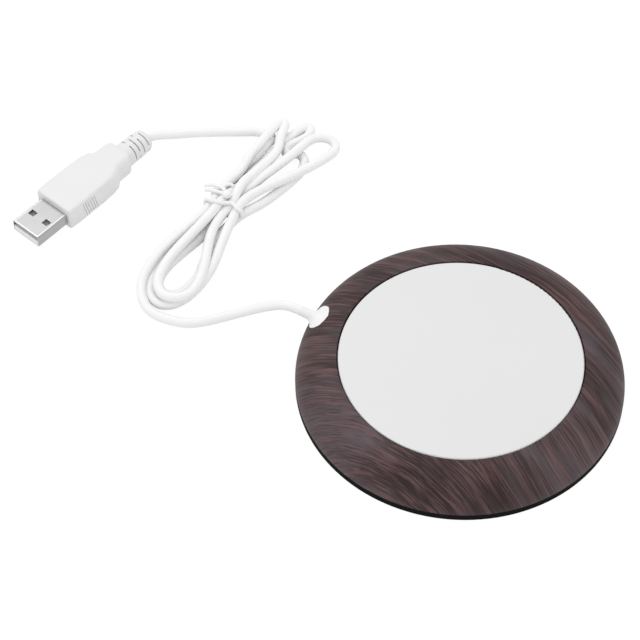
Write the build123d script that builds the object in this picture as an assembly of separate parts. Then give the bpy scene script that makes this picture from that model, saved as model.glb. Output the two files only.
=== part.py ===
"""Electric mug warmer on a USB lead, as separate parts. Millimetres, +Z up.

The origin is at the centre of the underside. The lead leaves the warmer along -X and lies on the
surface that the warmer stands on. Its middle is folded into a tied hank, and it ends in a USB plug.
"""

import os
from math import acos, cos, degrees, radians, sin, sqrt, tan

from build123d import *

# ---- warmer body ----
OUTER_RADIUS = 52.0
TOTAL_HEIGHT = 13.0
FOOT_PAD_THICKNESS = 2.5
COVER_WALL = 2.1
LIP_WIDTH = 0.7
LIP_ROUND = 0.25
FIT = 0.1  # sliding clearance between pieces that are assembled together
LOOSE_FIT = 0.3  # clearance between the cover and what it drops over

# ---- heating plate and what is under it ----
PLATE_RADIUS = 38.5
PLATE_GAP = 0.4
PLATE_RECESS = 0.2
PLATE_THICKNESS = 1.5
PLATE_ROUND = 0.4
SEAL_THICKNESS = 0.4
SEAL_WIDTH = 2.0
LEDGE_OVERLAP = 2.5
LEDGE_THICKNESS = 1.2
FILM_MARGIN = 2.0
FILM_THICKNESS = 0.3
TRACK_THICKNESS = 0.15
TRACK_WIDTH = 2.0
TRACK_PITCH = 3.8
TRACK_MARGIN = 2.2
TRACK_LEAST_RADIUS = 7.5
TRACK_GAP_HALF_WIDTH = 6.0
TERMINAL_SPREAD = 3.0
TERMINAL_STRIP = 1.6
SOLDER_RADIUS = 1.3
SOLDER_TIP_RADIUS = 0.8
SOLDER_HEIGHT = 0.6
SHIELD_THICKNESS = 0.5
SHIELD_OVERHANG = 0.5  # of the shield past the film
WIRE_BAY_MARGIN = 1.5
WIRE_BAY_REACH = 4.0  # of the bay past the terminals

# ---- base ----
BASE_THICKNESS = 1.6
BASE_RIM_INSET = 1.9
BASE_RIM_WALL = 1.5
BASE_RIM_HEIGHT = 1.9
RIB_INSET = 3.5
INNER_RIB_RADIUS = 14.0
RIB_WALL = 1.5
RIB_HEIGHT = 1.0
SCREW_COUNT = 4
SCREW_OUTSET = 3.1  # of the screws from the bore
SCREW_FIRST_ANGLE = 45.0
SCREW_RADIUS = 1.1
SCREW_LENGTH = 6.0
SCREW_HEAD_RADIUS = 2.1
SCREW_HEAD_HEIGHT = 1.2
SCREW_BOSS_RADIUS = 2.6
RECESS_WIDTH = 0.5
RECESS_DEPTH = 0.5

# ---- cord, grommet and clamp ----
CORD_DIAMETER = 3.3
CORD_LEDGE_GAP = 0.45
EXIT_DROP = 2.2  # of the cord's centre below the grommet's top, at the foot of the dome
GROMMET_WIDTH = 9.5
GROMMET_HEIGHT = 4.2
GROMMET_DROP = 1.15  # of the grommet's top below the cover's top
GROMMET_END_RADIUS = 1.55
GROMMET_DEPTH = 8.6
FLANGE_LIP = 1.65
FLANGE_THICKNESS = 1.5
FLANGE_CORNER = 3.0
FLARE_ROOT_RADIUS = 2.4
FLARE_TIP_RADIUS = 1.75
FLARE_LENGTH = 6.0
FLARE_OVERHANG = 2.0  # of the flare past the cover
JACKET_SETBACK = 4.5  # of the jacket's outer end inside the grommet
JACKET_PAST_CLAMP = 4.0
SADDLE_THICKNESS = 1.2
SADDLE_MARGIN = 1.5
SADDLE_HEIGHT = 3.5
CLAMP_SETBACK = 5.5  # of the clamp's centre inside the ledge
CLAMP_LENGTH = 5.0
CLAMP_MARGIN = 3.0
CLAMP_THICKNESS = 1.0
CLAMP_SCREW_OFFSET = 3.55  # from the side of the cord
CLAMP_SCREW_RADIUS = 0.9
CLAMP_SCREW_HEAD_RADIUS = 1.6
CLAMP_SCREW_HEAD_HEIGHT = 0.7
CLAMP_SCREW_LENGTH = 4.5
WIRE_DIAMETER = 1.1
WIRE_SPREAD = 0.7
WIRE_REACH = 8.5

# ---- USB plug, in its own frame: +X out of the mouth, origin where the cord enters the boot ----
SHELL_WIDTH = 12.0
SHELL_HEIGHT = 4.5
SHELL_WALL = 0.3
SHELL_CORNER = 0.6
SHELL_EXPOSED = 13.1
SHELL_HIDDEN = 6.0
WINDOW_LENGTH = 2.2
WINDOW_WIDTH = 2.5
WINDOW_INSET = 2.75
WINDOW_SETBACK = 6.6
TONGUE_THICKNESS = 1.9
TONGUE_SETBACK = 0.9
CONTACT_WIDTH = 1.1
CONTACT_THICKNESS = 0.2
CONTACT_PLACES = ((-3.5, 7.4), (-1.0, 6.4), (1.0, 6.4), (3.5, 7.4))  # across the tongue, length
CONTACT_SETBACK = 1.6
PLUG_SIDE_WALL = 1.6
PLUG_FACE_WALL = 1.95
PLUG_WAIST_STEP = 1.3
PLUG_FRONT_LENGTH = 23.8
PLUG_STEP_LENGTH = 1.6
PLUG_REAR_LENGTH = 8.2
PLUG_SHOULDER = 1.4
PLUG_CORNER = 1.2
PLUG_ROUND = 1.1
INNER_MOULD_LENGTH = 12.0
BOOT_LENGTH = 10.8
BOOT_STEP = 0.1
BOOT_BORE_DEPTH = 3.6  # of the cord's end inside the boot
BOOT_END_RADIUS = 3.6
BOOT_DOME = 1.8
BOOT_SLOTS = 4
BOOT_SLOT_WIDTH = 0.9
BOOT_SLOT_DEPTH = 1.2
BOOT_SLOT_PITCH = 2.0
PLUG_ORIGIN = (-135.9, 54.1)
PLUG_HEADING = 251.7

# ---- the route of the cord, each point as X, Y and the height of the cord's underside ----
LEAD_ROUTE = (
    (-61.2, -0.2, 8.5),
    (-64.8, -0.6, 6.75),
    (-69.0, -1.3, 4.25),
    (-73.3, -2.9, 2.25),
    (-78.1, -5.4, 0.65),
    (-82.9, -8.9, 0.05),
    (-86.5, -11.4, 0.05),
    (-90.0, -13.0, 0.05),
    (-93.7, -13.6, 0.05),
)
LEAD_STRAIGHT = 3.5  # straight stretch of cord out of the grommet
CORNER_SHARE = 0.45  # of each run that the arc at its end takes up
TAIL_ROUTE = (
    (-102.5, 73.8, 0.05),
    (-107.5, 71.5, 0.05),
    (-113.1, 69.2, 0.05),
    (-118.8, 66.7, 0.05),
    (-124.2, 64.1, 0.05),
    (-128.9, 61.2, 0.3),
    (-133.8, 57.2, 1.85),
)

# ---- hank and twist tie ----
TIE_CENTRE = (-98.4, 38.6)
HANK_HEADING = 75.0
HANK_LAYERS = 2
HANK_SLACK = 0.2
STUB_LENGTH = 5.0
NEAR_TURN_CENTRE = (-100.9, -1.8)
NEAR_TURN_RADIUS = 12.2
FAR_TURNS = (  # centre and radius of the turns at the far end of the hank
    (-94.5, 78.5, 4.0),
    (-86.0, 82.5, 4.0),
    (-75.0, 74.5, 5.0),
    (-84.0, 56.5, 4.0),
    (-97.5, 73.5, 3.5),
)
WAIST_WIDTH = 15.0
WAIST_SHIFT = 1.4
WAIST_HEIGHT = 7.0
WAIST_ROUND = 2.0
WAIST_LENGTH = 11.0
TIE_WIRE = 1.2
TIE_SPREAD = 4.4
TIE_END_SPREAD = 2.2
TIE_CLEARANCE = 0.1
KNOT_RADIUS = 1.1
KNOT_LIFT = 0.1
TAIL_RADIUS = 0.6
TIE_TAIL_LENGTH = 6.0

# ---- sizes that follow from the above ----
COVER_BOTTOM = FOOT_PAD_THICKNESS
BASE_TOP = FOOT_PAD_THICKNESS + BASE_THICKNESS
BORE_RADIUS = PLATE_RADIUS + PLATE_GAP
DOME_CENTRE = BORE_RADIUS + LIP_WIDTH
DOME_WIDTH = OUTER_RADIUS - DOME_CENTRE
DOME_HEIGHT = TOTAL_HEIGHT - COVER_BOTTOM
PLATE_TOP = TOTAL_HEIGHT - PLATE_RECESS
PLATE_BOTTOM = PLATE_TOP - PLATE_THICKNESS
LEDGE_TOP = PLATE_BOTTOM - SEAL_THICKNESS
LEDGE_BOTTOM = LEDGE_TOP - LEDGE_THICKNESS
LEDGE_RADIUS = PLATE_RADIUS - LEDGE_OVERLAP
LEDGE_ROOT_RADIUS = BORE_RADIUS + COVER_WALL
FILM_RADIUS = LEDGE_RADIUS - FILM_MARGIN
TRACK_OUTER_RADIUS = FILM_RADIUS - TRACK_MARGIN - TRACK_WIDTH / 2
FILM_BOTTOM = PLATE_BOTTOM - FILM_THICKNESS
TRACK_BOTTOM = FILM_BOTTOM - TRACK_THICKNESS
BASE_RADIUS = OUTER_RADIUS - COVER_WALL - LOOSE_FIT
BASE_RIM_RADIUS = BASE_RADIUS - BASE_RIM_INSET
SCREW_CIRCLE_RADIUS = BORE_RADIUS + SCREW_OUTSET
SHIELD_RADIUS = FILM_RADIUS + SHIELD_OVERHANG
SHIELD_BOTTOM = BASE_TOP + RIB_HEIGHT
SHIELD_TOP = SHIELD_BOTTOM + SHIELD_THICKNESS
CORD_RADIUS = CORD_DIAMETER / 2
CORD_INNER_HEIGHT = LEDGE_BOTTOM - CORD_LEDGE_GAP - CORD_RADIUS
CORD_EXIT_X = -OUTER_RADIUS - FLARE_OVERHANG
GROMMET_TOP = TOTAL_HEIGHT - GROMMET_DROP
EXIT_RISE = (GROMMET_TOP - EXIT_DROP - CORD_INNER_HEIGHT) / (OUTER_RADIUS - LEDGE_ROOT_RADIUS)
GROMMET_BACK_X = -OUTER_RADIUS + GROMMET_DEPTH
FLANGE_OUTER_X = GROMMET_BACK_X - LOOSE_FIT
FLANGE_INNER_X = FLANGE_OUTER_X + FLANGE_THICKNESS
FLANGE_WIDTH = GROMMET_WIDTH + 2 * FLANGE_LIP
CLAMP_X = -LEDGE_RADIUS + CLAMP_SETBACK
CLAMP_BOTTOM = CORD_INNER_HEIGHT + CORD_RADIUS
CLAMP_TOP = CLAMP_BOTTOM + CLAMP_THICKNESS
CLAMP_SCREW_SPREAD = CORD_RADIUS + CLAMP_SCREW_OFFSET
CLAMP_HALF_WIDTH = CLAMP_SCREW_SPREAD + CLAMP_MARGIN
JACKET_FRONT_X = -OUTER_RADIUS + JACKET_SETBACK
JACKET_BACK_X = CLAMP_X + JACKET_PAST_CLAMP
TERMINAL_X = JACKET_BACK_X + WIRE_REACH
PLUG_HEIGHT = SHELL_HEIGHT + 2 * PLUG_FACE_WALL
PLUG_HALF_WIDTH = SHELL_WIDTH / 2 + PLUG_SIDE_WALL
BOOT_ROOT_RADIUS = PLUG_HEIGHT / 2 - BOOT_STEP
BODY_REAR_X = BOOT_LENGTH
BODY_STEP_X = BODY_REAR_X + PLUG_REAR_LENGTH
BODY_FRONT_X = BODY_STEP_X + PLUG_STEP_LENGTH + PLUG_FRONT_LENGTH
MOUTH_X = BODY_FRONT_X + SHELL_EXPOSED
SHELL_BACK_X = BODY_FRONT_X - SHELL_HIDDEN
WINDOW_SPREAD = SHELL_WIDTH / 2 - WINDOW_INSET
PLUG_PLACE = Location((*PLUG_ORIGIN, PLUG_HEIGHT / 2), (0, 0, PLUG_HEADING))


# ---- shared shapes ----
def disc(radius, bottom, top, x=0.0, y=0.0):
    """An upright cylinder between two heights."""
    return Pos(x, y, (bottom + top) / 2) * Cylinder(radius, top - bottom)


def tube_ring(outer, inner, bottom, top):
    """A flat ring between two heights."""
    return disc(outer, bottom, top) - disc(inner, bottom, top)


def block(x_range, y_range, z_range):
    """A box given by its ranges along X, Y and Z."""
    size = [high - low for low, high in (x_range, y_range, z_range)]
    middle = [(high + low) / 2 for low, high in (x_range, y_range, z_range)]
    return Pos(*middle) * Box(*size)


def dome_envelope(wall=0.0):
    """The solid under the cover's domed surface, or under a surface one wall inside it."""
    width, height = DOME_WIDTH - wall, DOME_HEIGHT - wall
    arc = EllipticalCenterArc((DOME_CENTRE, COVER_BOTTOM), width, height, arc_size=90)
    sides = Polyline(arc @ 1, (0, COVER_BOTTOM + height), (0, COVER_BOTTOM), arc @ 0)
    return revolve(make_face(Plane.XZ * (arc + sides)), Axis.Z)


def arched_profile(width, bottom, top, corner):
    """An upright plate shape across X, with its two top corners rounded."""
    outline = Pos(0, (bottom + top) / 2) * Rectangle(width, top - bottom)
    outline = fillet(outline.vertices().group_by(Axis.Y)[-1], corner)
    return Plane.YZ * outline


def arched_block(width, bottom, top, corner, x_from, x_to):
    """The arched profile drawn out along X."""
    return Pos(x_from, 0, 0) * extrude(arched_profile(width, bottom, top, corner), x_to - x_from)


def countersunk(radius, length, head_radius, head_height):
    """A countersunk shape along +Z with its wide flat face at the origin."""
    head = Pos(0, 0, head_height / 2) * Cone(head_radius, radius, head_height)
    return head + disc(radius, head_height, length)


def screw(radius, length, head_radius, head_height):
    """A countersunk screw along +Z with a cross recess in its head."""
    slot = Box(head_radius, RECESS_WIDTH, 2 * RECESS_DEPTH)
    return countersunk(radius, length, head_radius, head_height) - slot - Rot(0, 0, 90) * slot


def corner_radii(points):
    """The largest even arc for each corner of a route: a share of the shorter run over tan(half turn)."""
    radii = []
    for before, here, after in zip(points, points[1:], points[2:]):
        first, second = Vector(here) - Vector(before), Vector(after) - Vector(here)
        half_turn = radians(first.get_angle(second)) / 2
        radii.append(CORNER_SHARE * min(first.length, second.length) / tan(half_turn))
    return radii


def round_cable(name, points, diameter):
    """A round cable along straight runs joined by tangent arcs."""
    radii = corner_radii(points)
    path = FilletPolyline(*points, radius=radii)
    section = Plane(origin=path @ 0, z_dir=path % 0) * Circle(diameter / 2)
    solid = sweep(section, path)
    expected = path.length * section.area
    print(name, "length", round(path.length, 1), "volume ratio", round(solid.volume / expected, 4))
    print(name, "radii", [round(r, 1) for r in radii])
    return solid


def exit_point(x):
    """The point at a given X on the rising line that the cord follows out through the grommet."""
    return (x, 0.0, CORD_INNER_HEIGHT - (x + LEDGE_ROOT_RADIUS) * EXIT_RISE)


def exit_bar(radius, x_from, x_to, end_radius=None):
    """A round bar or cone along the cord's line out through the grommet."""
    start, end = Vector(exit_point(x_from)), Vector(exit_point(x_to))
    length = (end - start).length
    bar = Cone(radius, end_radius, length) if end_radius else Cylinder(radius, length)
    return Plane(origin=(start + end) / 2, z_dir=end - start) * bar


def screw_places():
    """The places of the base screws, evenly round the base."""
    for k in range(SCREW_COUNT):
        angle = radians(SCREW_FIRST_ANGLE + 360 / SCREW_COUNT * k)
        yield SCREW_CIRCLE_RADIUS * cos(angle), SCREW_CIRCLE_RADIUS * sin(angle)


# ---- the warmer ----
def grommet_front(grown=0.0):
    """The oval bar, along X, that fills the cover's opening for the cord."""
    middle = GROMMET_TOP - GROMMET_HEIGHT / 2
    end_x = GROMMET_WIDTH / 2 - GROMMET_END_RADIUS
    rim = [Pos(0, middle) * Circle(GROMMET_HEIGHT / 2 + grown).edge()]
    rim += [Pos(side * end_x, middle) * Circle(GROMMET_END_RADIUS + grown).edge() for side in (1, -1)]
    return Pos(-OUTER_RADIUS, 0, 0) * extrude(Plane.YZ * make_hull(rim), GROMMET_DEPTH + grown)


def ring_cover():
    """The domed ring: outer skin, bore for the plate, ledge under it and bosses for the screws."""
    inner_width, inner_height = DOME_WIDTH - COVER_WALL, DOME_HEIGHT - COVER_WALL
    start = degrees(acos((LEDGE_ROOT_RADIUS - DOME_CENTRE) / inner_width))
    centre = (DOME_CENTRE, COVER_BOTTOM)
    outer = EllipticalCenterArc(centre, DOME_WIDTH, DOME_HEIGHT, arc_size=90)
    inner = EllipticalCenterArc(centre, inner_width, inner_height, arc_size=start)
    top = Polyline(
        outer @ 1,
        (BORE_RADIUS, TOTAL_HEIGHT),
        (BORE_RADIUS, LEDGE_TOP),
        (LEDGE_RADIUS, LEDGE_TOP),
        (LEDGE_RADIUS, LEDGE_BOTTOM),
        (LEDGE_ROOT_RADIUS, LEDGE_BOTTOM),
        inner @ 1,
    )
    ring = revolve(make_face(Plane.XZ * (outer + top + inner + Line(inner @ 0, outer @ 0))), Axis.Z)
    lip = ring.edges().filter_by(GeomType.CIRCLE).filter_by(lambda e: abs(e.radius - BORE_RADIUS) < FIT)
    ring = fillet(lip.sort_by(Axis.Z)[-1], LIP_ROUND)
    for x, y in screw_places():
        ring += disc(SCREW_BOSS_RADIUS, BASE_TOP, TOTAL_HEIGHT, x, y) & dome_envelope(COVER_WALL / 2)
    for x, y in screw_places():
        ring -= disc(SCREW_RADIUS, BASE_TOP, COVER_BOTTOM + SCREW_LENGTH + FIT, x, y)
    return ring - grommet_front(FIT)


def heating_plate():
    """The aluminium plate that the mug stands on, with a rounded top edge."""
    plate = disc(PLATE_RADIUS, PLATE_BOTTOM, PLATE_TOP)
    return fillet(plate.edges().sort_by(Axis.Z)[-1], PLATE_ROUND)


def plate_seal():
    """The silicone bead that bonds the plate to the ledge."""
    outer = PLATE_RADIUS - FIT
    return tube_ring(outer, outer - SEAL_WIDTH, LEDGE_TOP, PLATE_BOTTOM)


def heater_film():
    """The polyimide film of the heater, bonded under the plate."""
    return disc(FILM_RADIUS, FILM_BOTTOM, PLATE_BOTTOM)


def track_radii():
    """The radii of the track's rings from the middle out, always an odd number of them."""
    count = int((TRACK_OUTER_RADIUS - TRACK_LEAST_RADIUS) / TRACK_PITCH) + 1
    count -= 1 - count % 2
    return [TRACK_OUTER_RADIUS - TRACK_PITCH * k for k in reversed(range(count))]


def heater_track():
    """The foil track: rings with a gap at the cord's side, joined in turn into one meander."""
    half = TRACK_WIDTH / 2
    radii = track_radii()
    ends = [sqrt(r**2 - TRACK_GAP_HALF_WIDTH**2) for r in radii]
    gap = Pos(-OUTER_RADIUS / 2, 0) * Rectangle(OUTER_RADIUS, 2 * TRACK_GAP_HALF_WIDTH)
    sketch = Sketch()
    for r in radii:
        sketch += Circle(r + half) - Circle(r - half) - gap
    edge = TRACK_GAP_HALF_WIDTH + half
    side = -1
    for inner, outer in zip(ends, ends[1:]):
        side = -side
        bridge = Rectangle(outer - inner + TRACK_WIDTH, TRACK_WIDTH)
        sketch += Pos(-(inner + outer) / 2, side * edge) * bridge
    tab_height = edge - TERMINAL_SPREAD + half
    for side, end in ((1, ends[-1]), (-1, ends[0])):
        tab = Rectangle(TRACK_WIDTH, tab_height)
        sketch += Pos(-end, side * (TERMINAL_SPREAD + (tab_height - TRACK_WIDTH) / 2)) * tab
        strip = Rectangle(abs(end + TERMINAL_X) + TRACK_WIDTH, TERMINAL_STRIP)
        sketch += Pos((TERMINAL_X - end) / 2, side * TERMINAL_SPREAD) * strip
    return Pos(0, 0, TRACK_BOTTOM) * extrude(sketch, TRACK_THICKNESS)


def solder_joints():
    """A blob of solder on each terminal of the track."""
    blob = Cone(SOLDER_TIP_RADIUS, SOLDER_RADIUS, SOLDER_HEIGHT)
    height = TRACK_BOTTOM - SOLDER_HEIGHT / 2
    return Compound([Pos(TERMINAL_X, side * TERMINAL_SPREAD, height) * blob for side in (1, -1)])


def wire_bay():
    """The bay at the cord's side that the pad and the shield leave free for the clamp and wires."""
    half = CLAMP_HALF_WIDTH + WIRE_BAY_MARGIN
    return block((-OUTER_RADIUS, TERMINAL_X + WIRE_BAY_REACH), (-half, half), (0, TOTAL_HEIGHT))


def insulation_pad():
    """The fibre pad that holds the heater up against the plate."""
    return disc(FILM_RADIUS, SHIELD_TOP, TRACK_BOTTOM) - wire_bay()


def heat_shield():
    """The thin aluminium reflector between the pad and the base."""
    return disc(SHIELD_RADIUS, SHIELD_BOTTOM, SHIELD_TOP) - wire_bay()


def grommet_slot(bottom):
    """The space that the grommet's block takes, with its clearance, above a height."""
    half = GROMMET_WIDTH / 2 + FIT
    return block((-OUTER_RADIUS, FLANGE_OUTER_X), (-half, half), (bottom, TOTAL_HEIGHT))


def base_plate():
    """The base: disc, rim, ribs under the shield, grommet saddle and clamp block, with screw holes."""
    base = disc(BASE_RADIUS, COVER_BOTTOM, BASE_TOP)
    rim_top = BASE_TOP + BASE_RIM_HEIGHT
    base += tube_ring(BASE_RIM_RADIUS, BASE_RIM_RADIUS - BASE_RIM_WALL, BASE_TOP, rim_top)
    for x, y in screw_places():
        base -= disc(SCREW_BOSS_RADIUS + LOOSE_FIT, BASE_TOP, rim_top, x, y)
    for radius in (INNER_RIB_RADIUS, SHIELD_RADIUS - RIB_INSET):
        base += tube_ring(radius, radius - RIB_WALL, BASE_TOP, SHIELD_BOTTOM)
    saddle_x = (FLANGE_OUTER_X - FIT - SADDLE_THICKNESS, FLANGE_OUTER_X - FIT)
    saddle_half = FLANGE_WIDTH / 2 + SADDLE_MARGIN
    base += block(saddle_x, (-saddle_half, saddle_half), (BASE_TOP, BASE_TOP + SADDLE_HEIGHT))
    base -= grommet_slot(BASE_TOP)
    clamp_x = (CLAMP_X - CLAMP_LENGTH / 2, CLAMP_X + CLAMP_LENGTH / 2)
    base += block(clamp_x, (-CLAMP_HALF_WIDTH, CLAMP_HALF_WIDTH), (BASE_TOP, CLAMP_BOTTOM))
    groove = CORD_RADIUS + FIT / 2
    base -= block(clamp_x, (-groove, groove), (CORD_INNER_HEIGHT, CLAMP_BOTTOM))
    base -= Pos(CLAMP_X, 0, CORD_INNER_HEIGHT) * Rot(0, 90, 0) * Cylinder(groove, CLAMP_LENGTH)
    for side in (1, -1):
        depth = CLAMP_TOP - CLAMP_SCREW_LENGTH - FIT
        base -= disc(CLAMP_SCREW_RADIUS, depth, CLAMP_BOTTOM, CLAMP_X, side * CLAMP_SCREW_SPREAD)
    hole = countersunk(SCREW_RADIUS + FIT, SCREW_LENGTH, SCREW_HEAD_RADIUS + FIT, SCREW_HEAD_HEIGHT)
    for x, y in screw_places():
        base -= Pos(x, y, COVER_BOTTOM) * hole
    return base


def base_screws():
    """The countersunk screws that hold the base in the cover."""
    one = screw(SCREW_RADIUS - FIT, SCREW_LENGTH, SCREW_HEAD_RADIUS, SCREW_HEAD_HEIGHT)
    return Compound([Pos(x, y, COVER_BOTTOM) * one for x, y in screw_places()])


def foot_pad():
    """The foam pad that covers the whole underside and the screws."""
    return disc(OUTER_RADIUS, 0, FOOT_PAD_THICKNESS)


def cord_grommet():
    """The grommet: an oval flush with the dome, a shoulder and flange inside, a flare on the cord."""
    half, bottom = GROMMET_WIDTH / 2, BASE_TOP + FIT
    inside = block((-OUTER_RADIUS, GROMMET_BACK_X), (-half, half), (bottom, GROMMET_TOP))
    inside += arched_block(
        FLANGE_WIDTH, bottom, GROMMET_TOP, FLANGE_CORNER, FLANGE_OUTER_X, FLANGE_INNER_X
    )
    inside -= disc(LEDGE_ROOT_RADIUS + FIT, LEDGE_BOTTOM - FIT, TOTAL_HEIGHT)
    grommet = (grommet_front() & dome_envelope()) + (inside & dome_envelope(COVER_WALL + FIT))
    flare = exit_bar(FLARE_ROOT_RADIUS, CORD_EXIT_X + FLARE_LENGTH, CORD_EXIT_X, FLARE_TIP_RADIUS)
    grommet += flare - (dome_envelope(-FIT) - grommet_front())
    return grommet - exit_bar(CORD_RADIUS + FIT, JACKET_FRONT_X, FLANGE_INNER_X + FLANGE_THICKNESS)


def cord_inner_end():
    """The jacketed end of the cord inside the housing, from the grommet to past the clamp."""
    bend, back = exit_point(-LEDGE_ROOT_RADIUS), (JACKET_BACK_X, 0.0, CORD_INNER_HEIGHT)
    return round_cable("cord_inner_end", (exit_point(JACKET_FRONT_X), bend, back), CORD_DIAMETER)


def cord_clamp():
    """The bar that presses the cord into the groove of the base."""
    half_length, half_width = CLAMP_LENGTH / 2 - LOOSE_FIT, CLAMP_HALF_WIDTH - LOOSE_FIT
    x_range = (CLAMP_X - half_length, CLAMP_X + half_length)
    bar = block(x_range, (-half_width, half_width), (CLAMP_BOTTOM, CLAMP_TOP))
    hole = countersunk(
        CLAMP_SCREW_RADIUS + FIT, CLAMP_SCREW_LENGTH, CLAMP_SCREW_HEAD_RADIUS + FIT, CLAMP_SCREW_HEAD_HEIGHT
    )
    for place in clamp_screw_places():
        bar -= place * hole
    return bar


def clamp_screw_places():
    """The places of the clamp's screws, heads up and level with the top of the bar."""
    return [Pos(CLAMP_X, side * CLAMP_SCREW_SPREAD, CLAMP_TOP) * Rot(180, 0, 0) for side in (1, -1)]


def clamp_screws():
    """The two screws of the clamp bar."""
    one = screw(
        CLAMP_SCREW_RADIUS - FIT, CLAMP_SCREW_LENGTH, CLAMP_SCREW_HEAD_RADIUS, CLAMP_SCREW_HEAD_HEIGHT
    )
    return Compound([place * one for place in clamp_screw_places()])


def lead_wire(name, side):
    """A wire from the end of the jacket up to its solder joint."""
    droop = CORD_INNER_HEIGHT - WIRE_DIAMETER / 2
    points = (
        (JACKET_BACK_X + FIT, side * WIRE_SPREAD, CORD_INNER_HEIGHT),
        ((JACKET_BACK_X + TERMINAL_X) / 2, side * 2 * WIRE_SPREAD, droop),
        (TERMINAL_X, side * TERMINAL_SPREAD, droop),
        (TERMINAL_X, side * TERMINAL_SPREAD, TRACK_BOTTOM - SOLDER_HEIGHT),
    )
    return round_cable(name, points, WIRE_DIAMETER)


# ---- the cord outside the warmer ----
def raised(route):
    """The points of a route on the cord's centre line."""
    return [(x, y, lift + CORD_RADIUS) for x, y, lift in route]


def lead_points():
    """The route from the tip of the grommet's flare to the hank."""
    return [exit_point(CORD_EXIT_X), exit_point(CORD_EXIT_X - LEAD_STRAIGHT), *raised(LEAD_ROUTE)]


def tail_points():
    """The route from the hank to the boot of the plug, and straight on into the boot's bore."""
    heading, height = radians(PLUG_HEADING), PLUG_HEIGHT / 2
    x, y = PLUG_ORIGIN
    inside = (x + BOOT_BORE_DEPTH * cos(heading), y + BOOT_BORE_DEPTH * sin(heading), height)
    return [*raised(TAIL_ROUTE), (x, y, height), inside]


def stub(end, beside):
    """The first bit of cord in the hank, straight on from the tube's end and the point beside it."""
    way = Vector(end) - Vector(beside)
    return extrude(Plane(origin=end, z_dir=way) * Circle(CORD_RADIUS), STUB_LENGTH)


def hank_place():
    """The frame of the tied waist: X along the hank, Y to the left of it, Z up."""
    return Location((*TIE_CENTRE, 0), (0, 0, HANK_HEADING))


def waist_section(grown=0.0):
    """The section of the waist, which the tie lifts by its own thickness."""
    section = RectangleRounded(WAIST_WIDTH + 2 * grown, WAIST_HEIGHT + 2 * grown, WAIST_ROUND + grown)
    return Plane.YZ * (Pos(-WAIST_SHIFT, TIE_WIRE + TIE_CLEARANCE + WAIST_HEIGHT / 2) * section)


def lobe(circles):
    """One end of the hank: the hull of its turns and the waist, as thick as its two layers."""
    rim = [Pos(x, y) * Circle(r).edge() for x, y, r in circles]
    for side in (1, -1):
        corner = hank_place() * Pos(0, side * (WAIST_WIDTH / 2 - WAIST_ROUND) - WAIST_SHIFT)
        rim.append(Pos(corner.position) * Circle(WAIST_ROUND).edge())
    return extrude(make_hull(rim), HANK_LAYERS * CORD_DIAMETER + HANK_SLACK)


def cord_hank():
    """The hank as one solid of its outer shape: two lobes, the tied waist and the two cord stubs."""
    near = lobe(((*NEAR_TURN_CENTRE, NEAR_TURN_RADIUS),))
    far = lobe(FAR_TURNS)
    half = WAIST_LENGTH / 2
    tie_gap = hank_place() * block((-half, half), (-WAIST_WIDTH, WAIST_WIDTH), (0, WAIST_WIDTH))
    waist = extrude(waist_section(), WAIST_LENGTH / 2, both=True)
    hank = near + far - tie_gap + hank_place() * waist
    lead, tail = lead_points(), tail_points()
    return hank + stub(lead[-1], lead[-2]) + stub(tail[0], tail[1])


def twist_tie():
    """The wire tie: two turns round the waist, a knot on top of them and two loose ends."""
    outer, inner = waist_section(TIE_CLEARANCE + TIE_WIRE), waist_section(TIE_CLEARANCE)
    turn = extrude(outer - inner, TIE_WIRE / 2, both=True)
    tie = Part() + [Pos(side * TIE_SPREAD / 2, 0, 0) * turn for side in (1, -1)]
    knot_height = TIE_WIRE + 2 * TIE_CLEARANCE + WAIST_HEIGHT + KNOT_LIFT + KNOT_RADIUS
    tie += Pos(0, 0, knot_height) * Rot(0, 90, 0) * Cylinder(KNOT_RADIUS, TIE_SPREAD + 2 * TIE_WIRE)
    for side in (1, -1):
        end = Rot(90, 0, 0) * Cylinder(TAIL_RADIUS, TIE_TAIL_LENGTH)
        tie += Pos(side * TIE_END_SPREAD / 2, TIE_TAIL_LENGTH / 2, knot_height) * end
    return hank_place() * tie


# ---- the USB plug, in its own frame until plug_part() places it ----
def plug_part(shape):
    """A plug part moved from the plug's frame to where the plug lies."""
    return PLUG_PLACE * shape


def bar_along(width, height, corner, x_from, x_to):
    """A bar of rounded-rectangle section along X."""
    section = Plane.YZ * RectangleRounded(width, height, corner)
    return Pos(x_from, 0, 0) * extrude(section, x_to - x_from)


def plug_shell():
    """The stamped metal shell, open at the mouth, with two windows in the top and two below."""
    inner_width, inner_height = SHELL_WIDTH - 2 * SHELL_WALL, SHELL_HEIGHT - 2 * SHELL_WALL
    shell = bar_along(SHELL_WIDTH, SHELL_HEIGHT, SHELL_CORNER, SHELL_BACK_X, MOUTH_X)
    shell -= bar_along(inner_width, inner_height, SHELL_CORNER - SHELL_WALL, SHELL_BACK_X, MOUTH_X)
    for side in (1, -1):
        window = Box(WINDOW_LENGTH, WINDOW_WIDTH, 2 * SHELL_HEIGHT)
        shell -= Pos(MOUTH_X - WINDOW_SETBACK, side * WINDOW_SPREAD, 0) * window
    return plug_part(shell)


def tongue_top():
    """The height of the tongue's top face, which carries the contacts."""
    return -SHELL_HEIGHT / 2 + SHELL_WALL + TONGUE_THICKNESS


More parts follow.
